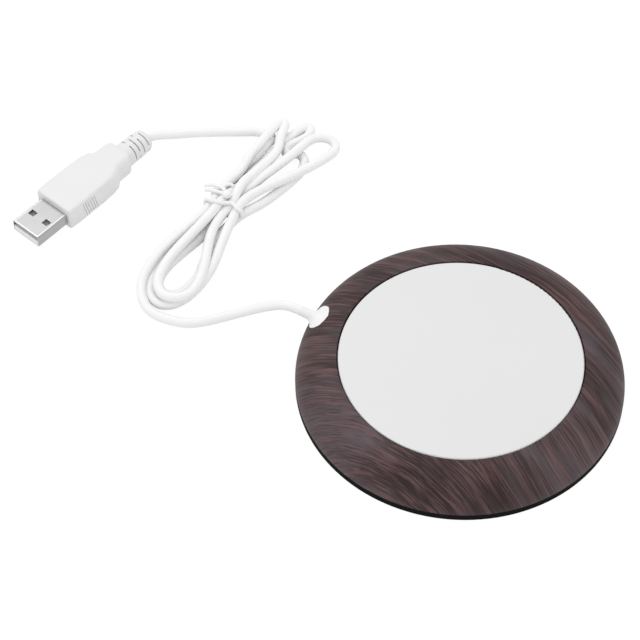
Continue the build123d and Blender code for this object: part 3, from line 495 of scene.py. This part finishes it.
def moulded(name, colour, worn, roughness, grain=0.0006):
    """Moulded plastic with a spark-eroded grain."""
    finish = Finish(name, {"IOR": 1.5})
    skin = finish.noise(grain, detail=3)
    finish.colour(finish.between(finish.noise(MOULD_CLOUD_SIZE, detail=3), colour, worn))
    finish.roughness(roughness + MOULD_SPREAD * skin)
    return finish.relief(skin, MOULD_GRAIN_DEPTH)


def metal(name, colour, dull, roughness, size=0.002):
    """Bare or plated metal with faint blotches of that size and fine scratches."""
    finish = Finish(name, {"Metallic": 1.0})
    finish.plain = finish.between(finish.noise(size, detail=4), colour, dull)
    finish.colour(finish.plain)
    scratches = finish.noise(SCRATCH_SIZE, detail=2)
    finish.roughness(roughness + SCRATCH_SPREAD * scratches)
    return finish.relief(scratches, SCRATCH_DEPTH)


black_abs = moulded("black_abs", BLACK_ABS, BLACK_ABS_WORN, roughness=0.45)
zinc = metal("zinc_plate", ZINC, ZINC_DULL, roughness=0.30)
for node in ("base_plate", "cord_clamp"):
    dress(node, black_abs)
for node in ("base_screws", "clamp_screws"):
    dress(node, zinc)


# ---- The heater ----
# Under the plate lie a bead of silicone, a polyimide film with its etched foil track, the solder
# joints of the two wires, a fibre pad and a thin aluminium shield. The cord's end comes in there.
SILICONE, SILICONE_CLOUD = (0.55, 0.10, 0.07), (0.48, 0.08, 0.06)
POLYIMIDE, POLYIMIDE_DARK = (0.62, 0.23, 0.03), (0.50, 0.17, 0.02)
FOIL, FOIL_DULL = (0.60, 0.57, 0.52), (0.45, 0.42, 0.38)
SOLDER, SOLDER_DULL = (0.66, 0.66, 0.66), (0.50, 0.50, 0.52)
GLASS_FIBRE, GLASS_FIBRE_LOOSE = (0.74, 0.73, 0.68), (0.60, 0.59, 0.54)
ALUMINIUM, ALUMINIUM_DULL = (0.80, 0.80, 0.81), (0.66, 0.66, 0.67)
RED_WIRE, RED_WIRE_DARK = (0.55, 0.02, 0.02), (0.45, 0.015, 0.015)
BLACK_WIRE, BLACK_WIRE_GREY = (0.015, 0.015, 0.015), (0.025, 0.025, 0.025)

dress("plate_seal", moulded("silicone_bead", SILICONE, SILICONE_CLOUD, roughness=0.40))
dress("heater_film", moulded("polyimide_film", POLYIMIDE, POLYIMIDE_DARK, roughness=0.25))
dress("heater_track", metal("etched_foil", FOIL, FOIL_DULL, roughness=0.35))
dress("solder_joints", metal("solder", SOLDER, SOLDER_DULL, roughness=0.25))
sheet = metal("aluminium_sheet", ALUMINIUM, ALUMINIUM_DULL, roughness=0.25, size=0.008)
dress("heat_shield", sheet)
fibre = moulded("glass_fibre", GLASS_FIBRE, GLASS_FIBRE_LOOSE, roughness=0.9, grain=0.0004)
dress("insulation_pad", fibre)
dress("lead_wire_red", moulded("red_wire", RED_WIRE, RED_WIRE_DARK, roughness=0.35))
dress("lead_wire_black", moulded("black_wire", BLACK_WIRE, BLACK_WIRE_GREY, roughness=0.35))
dress("cord_inner_end", soft_white("cord_inner_jacket", CORD_ROUGHNESS))


# ---- The plug's metal shell, tongue and contacts ----
# A sleeve of nickel-plated steel with two locking windows on each face, round a white tongue
# that carries four gilt contacts. A painted highlight runs just inside the sleeve's rounded edges.
NICKEL, NICKEL_DULL, PAINTED_EDGE_HIGHLIGHT = (0.46, 0.46, 0.46), (0.40, 0.40, 0.405), (0.92, 0.92, 0.92)
TONGUE_WHITE, TONGUE_SHADE = (0.84, 0.84, 0.84), (0.78, 0.78, 0.77)
GILT, GILT_WORN = (0.80, 0.58, 0.24), (0.66, 0.48, 0.22)
NICKEL_BLOTCH_SIZE = 0.004

PLUG_PLACE, PLUG_HEADING = (-0.1359, 0.0541, 0.0042), 251.7  # of the boot's outer end
MOUTH, SHELL_HALF_WIDTH = 0.0577, 0.006  # the mouth from there, and half the sleeve's width
HIGHLIGHT_IN, HIGHLIGHT_WIDTH, HIGHLIGHT_SHARE = 0.0006, 0.00022, 0.8  # the painted highlight just inside each edge
TONGUE_SIZE, TONGUE_BACK, TONGUE_LOW = (0.0186, 0.0113, 0.0022), 0.0001, 0.00195
TONGUE_ROUND, TONGUE_ROUND_STEPS = 0.0002, 2


def modify(piece, kind, **settings):
    """Adds a modifier and applies it."""
    select_only(piece)
    modifier = piece.modifiers.new(kind, kind)
    for key, value in settings.items():
        setattr(modifier, key, value)
    bpy.ops.object.modifier_apply(modifier=modifier.name)


def set_down(piece, place, heading):
    """Turns and moves a piece from its own frame to where it lies, and applies both to its mesh."""
    piece.location, piece.rotation_euler = place, (0, 0, math.radians(heading))
    select_only(piece)
    bpy.ops.object.transform_apply()


shell = metal("nickel_plate", NICKEL, NICKEL_DULL, roughness=0.32, size=NICKEL_BLOTCH_SIZE)
in_plug = {"Vector": shell.place(), "Location": PLUG_PLACE}
in_plug["Rotation"] = (0, 0, math.radians(PLUG_HEADING))
in_plug = shell.node("ShaderNodeMapping", {"vector_type": "TEXTURE"}, in_plug)
parts = shell.node("ShaderNodeSeparateXYZ", None, {0: in_plug})
along, across = shell.outlets(parts, "X", "Y")
from_side = SHELL_HALF_WIDTH - shell.maths("ABSOLUTE", across)
from_edge = shell.maths("MINIMUM", from_side, MOUTH - along)
# Painted highlight: a bright band in the colour, just inside the edges, stands for the light on
# their rounds.
off_highlight = shell.maths("ABSOLUTE", from_edge - HIGHLIGHT_IN)
on_painted_highlight = shell.maths("LESS_THAN", off_highlight, HIGHLIGHT_WIDTH / 2)
shell.colour(shell.between(HIGHLIGHT_SHARE * on_painted_highlight, shell.plain, PAINTED_EDGE_HIGHLIGHT))
dress("plug_shell", shell)

centre = (MOUTH - TONGUE_BACK - TONGUE_SIZE[0] / 2, 0, -TONGUE_LOW + TONGUE_SIZE[2] / 2)
bpy.ops.mesh.primitive_cube_add(size=1, location=centre, scale=TONGUE_SIZE)
tongue = bpy.context.object
bpy.ops.object.transform_apply()
modify(tongue, "BEVEL", width=TONGUE_ROUND, segments=TONGUE_ROUND_STEPS)
set_down(tongue, PLUG_PLACE, PLUG_HEADING)
tongue_plastic = moulded("tongue_plastic", TONGUE_WHITE, TONGUE_SHADE, roughness=0.40)
finish_piece(tongue, "tongue_block", tongue_plastic, "plug_tongue", "plug_tongue")
dress("plug_contacts", metal("gilt", GILT, GILT_WORN, roughness=0.22))
dress("plug_inner_mould", moulded("inner_mould", TONGUE_SHADE, TONGUE_WHITE, roughness=0.50))


# ---- The plug's body ----
# White PVC moulded round the shell and the cord's end. It is flat above and below, waisted
# behind the finger grips, and six fine grooves cross each flank in front.
PLUG_WHITE, PLUG_SHADE = (0.780, 0.780, 0.780), (0.750, 0.750, 0.752)
PLUG_ROUGHNESS = 0.40
BODY_HEIGHT, BODY_RISE, BODY_SHIFT = 0.0088, 0.00025, -0.0004  # thickness, lift, set to a side
BODY_STATIONS = (  # along the plug from the boot's end, half width at the flanks, at the faces
    (0.0118, 0.0046, 0.0038), (0.0132, 0.0059, 0.0045), (0.0180, 0.0059, 0.0046),
    (0.0192, 0.0063, 0.0050), (0.0208, 0.0077, 0.0062), (0.0232, 0.0081, 0.0071),
    (0.0280, 0.0081, 0.0077), (0.0400, 0.0081, 0.0078), (0.0441, 0.0079, 0.0076),
)
FLANK_HEIGHT = 0.0060
BODY_ROUND, BODY_ROUND_STEPS, BODY_ROUND_ANGLE = 0.0007, 4, 24.0
GROOVES, GROOVE_FIRST, GROOVE_PITCH, GROOVE_RISE = 6, 0.0322, 0.00102, 0.0002
GROOVE_SIZE, GROOVE_SLANT = (0.0004, 0.0006, 0.0062), 12.0
BODY_SMOOTH_ANGLE = 40.0
SAME_PLACE = 1e-6


def select_where(test):
    """In edit mode, selects the vertices that pass a test, and nothing else."""
    mesh = bmesh.from_edit_mesh(bpy.context.object.data)
    for item in (*mesh.verts, *mesh.edges, *mesh.faces):
        item.select_set(False)
    for vert in mesh.verts:
        if test(vert.co):
            vert.select_set(True)
    mesh.select_flush(True)
    bmesh.update_edit_mesh(bpy.context.object.data)


def on_faces(co):
    """Whether a vertex is on the upper or lower face, and not on a flank."""
    return abs(co.z) > (FLANK_HEIGHT + BODY_HEIGHT) / 4


here, flank, face = BODY_STATIONS[0]
section = (
    (face, BODY_HEIGHT / 2), (flank, FLANK_HEIGHT / 2), (flank, -FLANK_HEIGHT / 2),
    (face, -BODY_HEIGHT / 2), (-face, -BODY_HEIGHT / 2), (-flank, -FLANK_HEIGHT / 2),
    (-flank, FLANK_HEIGHT / 2), (-face, BODY_HEIGHT / 2),
)
bpy.ops.object.select_all(action="DESELECT")
bpy.ops.mesh.primitive_circle_add(
    vertices=len(section), radius=1, fill_type="NGON", rotation=(0, math.pi / 2, 0)
)
body = bpy.context.object
bpy.ops.object.transform_apply()
bpy.ops.object.mode_set(mode="EDIT")
mesh = bmesh.from_edit_mesh(body.data)
around = sorted(mesh.verts, key=lambda v: math.atan2(v.co.y, v.co.z) % (2 * math.pi))
for vert, (y, z) in zip(around, section):
    vert.co = (here, y, z)
bmesh.update_edit_mesh(body.data)
for station, half_width, face_width in BODY_STATIONS[1:]:
    select_where(lambda co: abs(co.x - here) < SAME_PLACE)
    bpy.ops.mesh.extrude_region_move(TRANSFORM_OT_translate={"value": (station - here, 0, 0)})
    select_where(lambda co: abs(co.x - station) < SAME_PLACE and not on_faces(co))
    bpy.ops.transform.resize(value=(1, half_width / flank, 1), center_override=(station, 0, 0))
    select_where(lambda co: abs(co.x - station) < SAME_PLACE and on_faces(co))
    bpy.ops.transform.resize(value=(1, face_width / face, 1), center_override=(station, 0, 0))
    here, flank, face = station, half_width, face_width
bpy.ops.mesh.select_all(action="SELECT")
bpy.ops.mesh.normals_make_consistent(inside=False)
bpy.ops.object.mode_set(mode="OBJECT")
modify(body, "BEVEL", width=BODY_ROUND, segments=BODY_ROUND_STEPS, limit_method="ANGLE",
       angle_limit=math.radians(BODY_ROUND_ANGLE))

cutters = []
grip_half_width = max(half_width for station, half_width, face_width in BODY_STATIONS)
for side in (1, -1):
    for number in range(GROOVES):
        place = (GROOVE_FIRST + number * GROOVE_PITCH, side * grip_half_width, GROOVE_RISE)
        slant = (0, math.radians(GROOVE_SLANT), 0)
        bpy.ops.mesh.primitive_cube_add(size=1, location=place, scale=GROOVE_SIZE, rotation=slant)
        cutters.append(bpy.context.object)
cutter = join(cutters)
bpy.ops.object.transform_apply()
modify(body, "BOOLEAN", operation="DIFFERENCE", object=cutter, solver="EXACT")
bpy.data.objects.remove(cutter)
bpy.ops.object.select_all(action="DESELECT")
body.select_set(True)
bpy.ops.transform.translate(value=(0, BODY_SHIFT, BODY_RISE))
bpy.ops.object.transform_apply()
set_down(body, PLUG_PLACE, PLUG_HEADING)
bpy.ops.object.shade_smooth_by_angle(angle=math.radians(BODY_SMOOTH_ANGLE))
plug_pvc = soft_white("plug_pvc", PLUG_ROUGHNESS, PLUG_WHITE, PLUG_SHADE)
finish_piece(body, "plug_overmould", plug_pvc, "plug_body", "plug_body")


# ---- The plug's boot ----
# The cord's strain relief, moulded with the body. Three curved slots go round it at each of four
# places, and each three are turned a little against the next.
BOOT_STATIONS = (  # along the boot from its outer end, half width, half height
    (0.0000, 0.0019, 0.0019), (0.0001, 0.0026, 0.0026), (0.0004, 0.0032, 0.0032),
    (0.0009, 0.0036, 0.0036), (0.0016, 0.0039, 0.0038), (0.0060, 0.0041, 0.0040),
    (0.0122, 0.0042, 0.0041),
)
BOOT_SIDES, BOOT_SQUARE, BOOT_SMOOTH_ANGLE = 72, 0.86, 35.0
SLOT_PLACES, SLOT_WIDTH = (0.0025, 0.0048, 0.0068, 0.0089), 0.0005
SLOT_FLOOR, SLOT_REACH = 0.0029, 0.008  # how far the cuts go in and out from the middle
SLOT_ARC, SLOTS_ROUND, SLOT_TURNS = 90.0, 3, (30.0, 57.0, 25.0, 60.0)


def rounded(angle, half_width, half_height, squareness):
    """A point of a rounded oblong at an angle from its top."""
    across, up = math.sin(angle), math.cos(angle)
    return (
        half_width * math.copysign(abs(across) ** squareness, across),
        half_height * math.copysign(abs(up) ** squareness, up),
    )


def loft(sides, rings):
    """A closed skin through rings of points, each ring a function of the side's number."""
    bpy.ops.object.select_all(action="DESELECT")
    bpy.ops.mesh.primitive_circle_add(vertices=sides, radius=1, fill_type="NGON")
    bpy.ops.object.mode_set(mode="EDIT")
    for number, ring in enumerate(rings):
        if number:
            bpy.ops.mesh.extrude_region_move()
        mesh = bmesh.from_edit_mesh(bpy.context.object.data)
        order = mesh.verts.layers.int.get("side") or mesh.verts.layers.int.new("side")
        moved = [v for v in mesh.verts if v.select]
        if not number:
            moved.sort(key=lambda v: math.atan2(v.co.y, v.co.x) % (2 * math.pi))
            for side, vert in enumerate(moved):
                vert[order] = side
        for vert in moved:
            vert.co = ring(vert[order])
        bmesh.update_edit_mesh(bpy.context.object.data)
    bpy.ops.mesh.select_all(action="SELECT")
    bpy.ops.mesh.normals_make_consistent(inside=False)
    bpy.ops.object.mode_set(mode="OBJECT")
    bpy.context.object.data.attributes.remove(bpy.context.object.data.attributes["side"])
    return bpy.context.object


def boot_ring(along, half_width, half_height):
    return lambda side: (
        along, *rounded(2 * math.pi * side / BOOT_SIDES, half_width, half_height, BOOT_SQUARE)
    )


def slot_cutter(along, turn):
    """Three arcs of a flat ring, as thick as a slot is wide, at that place and turn."""
    bpy.ops.object.select_all(action="DESELECT")
    bpy.ops.mesh.primitive_circle_add(
        vertices=BOOT_SIDES, radius=SLOT_REACH, fill_type="NOTHING", rotation=(0, math.pi / 2, 0)
    )
    bpy.ops.object.transform_apply()
    bpy.ops.object.mode_set(mode="EDIT")
    bpy.ops.mesh.select_all(action="SELECT")
    bpy.ops.mesh.extrude_edges_move()
    bpy.ops.transform.resize(value=(1, SLOT_FLOOR / SLOT_REACH, SLOT_FLOOR / SLOT_REACH))
    mesh = bmesh.from_edit_mesh(bpy.context.object.data)
    for face in mesh.faces:
        place = face.calc_center_median()
        angle = math.degrees(math.atan2(place.y, place.z)) - turn + SLOT_ARC / 2
        face.select_set(angle % (360 / SLOTS_ROUND) > SLOT_ARC)
    bmesh.update_edit_mesh(bpy.context.object.data)
    bpy.ops.mesh.delete(type="FACE")
    bpy.ops.mesh.select_all(action="SELECT")
    bpy.ops.mesh.extrude_region_move(TRANSFORM_OT_translate={"value": (SLOT_WIDTH, 0, 0)})
    bpy.ops.mesh.select_all(action="SELECT")
    bpy.ops.mesh.normals_make_consistent(inside=False)
    bpy.ops.transform.translate(value=(along - SLOT_WIDTH / 2, 0, 0))
    bpy.ops.object.mode_set(mode="OBJECT")
    return bpy.context.object


boot = loft(BOOT_SIDES, [boot_ring(*station) for station in BOOT_STATIONS])
cutter = join([slot_cutter(along, turn) for along, turn in zip(SLOT_PLACES, SLOT_TURNS)])
modify(boot, "BOOLEAN", operation="DIFFERENCE", object=cutter, solver="EXACT")
bpy.data.objects.remove(cutter)
set_down(boot, PLUG_PLACE, PLUG_HEADING)
bpy.ops.object.shade_smooth_by_angle(angle=math.radians(BOOT_SMOOTH_ANGLE))
finish_piece(boot, "plug_boot", plug_pvc, "plug_body", "plug_strain_relief")


# ---- The grommet ----
# A white bush in the dome. Its oval rim stands a hair proud of the dome, and from it a trumpet
# runs out to the cord.
DOME_CENTRE, DOME_WIDTH, DOME_BOTTOM, DOME_HEIGHT = 0.0396, 0.0124, 0.0025, 0.0105
OVAL_SIZE, OVAL_HEIGHT, OVAL_SQUARE = (0.00475, 0.0021), 0.00975, 0.90
RIM_RINGS = (  # out of the dome, and size against the oval's
    (-0.0012, 1.0), (0.00005, 1.0), (0.00018, 0.985), (0.00022, 0.96), (0.00018, 0.93),
)
TRUMPET_RINGS, TRUMPET_CURVE = 20, 5.5  # how many, and how sharply it narrows
TRUMPET_END, TRUMPET_RADIUS, EXIT_SLOPE = Vector((-0.0545, 0, 0.01009)), 0.00166, 0.185
BUSH_SIDES, BUSH_SMOOTH_ANGLE = 72, 40.0
GROMMET_WHITE, GROMMET_SHADE = (0.86, 0.86, 0.86), (0.83, 0.83, 0.83)


def rim_point(side, out, scale):
    """A point of the oval rim, that far out of the dome."""
    across, up = rounded(2 * math.pi * side / BUSH_SIDES, *OVAL_SIZE, OVAL_SQUARE)
    across, up = across * scale, OVAL_HEIGHT + up * scale
    reach = DOME_CENTRE + DOME_WIDTH * math.sqrt(1 - ((up - DOME_BOTTOM) / DOME_HEIGHT) ** 2)
    return Vector((-math.sqrt(reach ** 2 - across ** 2) - out, across, up))


def rim_ring(out, scale):
    return lambda side: rim_point(side, out, scale)


def trumpet_ring(step):
    """A ring between the rim's inner edge and the cord, which narrows faster than it moves out."""
    line = Vector((-1, 0, EXIT_SLOPE)).normalized()
    width, height = Vector((0, 1, 0)), Vector((EXIT_SLOPE, 0, 1)).normalized()

    def place(side):
        angle = 2 * math.pi * side / BUSH_SIDES
        tip = TRUMPET_RADIUS * (math.sin(angle) * width + math.cos(angle) * height)
        root = rim_point(side, *RIM_RINGS[-1]) - TRUMPET_END
        along = root.dot(line)
        spread = tip + (1 - step) ** TRUMPET_CURVE * (root - along * line - tip)
        return TRUMPET_END + along * (1 - step) * line + spread

    return place


steps = [(number + 1) / TRUMPET_RINGS for number in range(TRUMPET_RINGS)]
bush_rings = [rim_ring(*ring) for ring in RIM_RINGS] + [trumpet_ring(step) for step in steps]
bush = loft(BUSH_SIDES, bush_rings)
bpy.ops.object.shade_smooth_by_angle(angle=math.radians(BUSH_SMOOTH_ANGLE))
grommet_pvc = soft_white("grommet_pvc", PLUG_ROUGHNESS, GROMMET_WHITE, GROMMET_SHADE)
finish_piece(bush, "grommet_bush", grommet_pvc, "grommet", "cord_grommet")


# ---- The table and the light ----
# A matt white tabletop, which reads as plain white and keeps the soft shadow under the warmer.
# An even white room and two broad lamps light it.
TABLE_SIZE, TABLE_WHITE, TABLE_ROUGHNESS = 3.0, (0.80, 0.80, 0.80), 0.9
GLOW_SHARE, GLOW_STRENGTH = 0.86, 1.08
WORLD_STRENGTH, WORLD_SEEN = 0.95, 1.0
LAMPS = (  # name, place, size, watts
    ("key", (-0.55, 0.35, 0.95), 0.7, 2.1),
    ("fill", (0.80, -0.60, 0.80), 0.9, 0.45),
)
LAMP_AIM = Vector((-0.03, 0.01, 0))

bpy.ops.object.select_all(action="DESELECT")
bpy.ops.mesh.primitive_plane_add(size=TABLE_SIZE)
table = bpy.context.object
table.name = "table"
top = Finish("table_top", {"Roughness": TABLE_ROUGHNESS, "Base Color": (*TABLE_WHITE, 1)})
rays = top.node("ShaderNodeLightPath")
seen = top.outlets(rays, "Is Camera Ray", "Is Glossy Ray", "Is Transmission Ray")
seen = top.maths("MAXIMUM", seen[0], top.maths("MAXIMUM", seen[1], seen[2]))
glow = top.node("ShaderNodeEmission", None, {"Color": (1, 1, 1, 1), "Strength": GLOW_STRENGTH})
shown = {0: GLOW_SHARE * seen, 1: Value(top, top.shader.outputs[0]), 2: glow}
shown = top.node("ShaderNodeMixShader", None, shown)
output = next(n for n in top.material.node_tree.nodes if n.type == "OUTPUT_MATERIAL")
top.feed(output, "Surface", shown)
table.data.materials.append(top.material)

world = bpy.data.worlds.new("studio")
bpy.context.scene.world = world
world.use_nodes = True
sky = world.node_tree
light, backdrop = sky.nodes["Background"], sky.nodes.new("ShaderNodeBackground")
for node, strength in ((light, WORLD_STRENGTH), (backdrop, WORLD_SEEN)):
    node.inputs["Color"].default_value = (1, 1, 1, 1)
    node.inputs["Strength"].default_value = strength
choice = sky.nodes.new("ShaderNodeMixShader")
sky_rays = sky.nodes.new("ShaderNodeLightPath")
sky.links.new(sky_rays.outputs["Is Camera Ray"], choice.inputs[0])
sky.links.new(light.outputs[0], choice.inputs[1])
sky.links.new(backdrop.outputs[0], choice.inputs[2])
sky.links.new(choice.outputs[0], sky.nodes["World Output"].inputs["Surface"])

for name, place, size, watts in LAMPS:
    lamp = bpy.data.objects.new(name, bpy.data.lights.new(name, "AREA"))
    lamp.data.shape, lamp.data.size, lamp.data.energy = "DISK", size, watts
    turn = (LAMP_AIM - Vector(place)).to_track_quat("-Z", "Y").to_matrix().to_4x4()
    lamp.matrix_world = Matrix.Translation(place) @ turn
    bpy.context.scene.collection.objects.link(lamp)
bpy.context.scene.view_settings.view_transform = "Standard"
